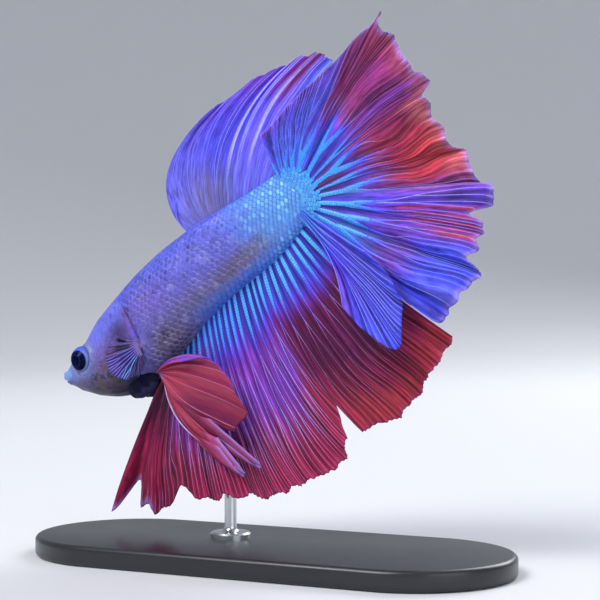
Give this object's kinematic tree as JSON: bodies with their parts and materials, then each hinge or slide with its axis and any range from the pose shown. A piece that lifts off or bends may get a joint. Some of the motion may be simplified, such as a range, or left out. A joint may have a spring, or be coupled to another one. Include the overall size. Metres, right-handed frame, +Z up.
{
  "type": "betta fish",
  "caption": "Life-size model of a long-finned fish, head down with its tail and fins fanned out, on a flat base with a rod.",
  "frame": {"origin": "centre of the underside of the stand's base, which is the middle of the bottom of the bounding box", "axes": "+Z up; +X the way the tail points, the head pointing to -X and down; +Y to the fish's right"},
  "size_m": [0.074, 0.03, 0.078],
  "materials": {
    "skin": "satin scales, lavender and blue",
    "gill_membrane": "smooth wet membrane",
    "eye": "polished",
    "upper_fins": "ribbed web, violet and turquoise to crimson",
    "lower_fins": "ribbed web, crimson with violet rays",
    "pectoral_fins": "ribbed web, dark violet",
    "stand_base": "satin black",
    "stand_rod": "turned and polished"
  },
  "bodies": {
    "root": {"head": "skin", "lower_jaw": "skin", "trunk": "skin", "tail_stalk": "skin", "gill_cover_left": "skin", "gill_cover_right": "skin", "gill_membrane_left": "gill_membrane", "gill_membrane_right": "gill_membrane", "eye_left": "eye", "eye_right": "eye", "dorsal_fin": "upper_fins", "caudal_fin": "upper_fins", "caudal_lower_lobe": "upper_fins", "anal_fin": "lower_fins", "pelvic_fin_left": "lower_fins", "pelvic_fin_right": "lower_fins", "pectoral_fin_left": "pectoral_fins", "pectoral_fin_right": "pectoral_fins", "stand_base": "stand_base", "stand_rod": "stand_rod"}
  },
  "joints": []
}
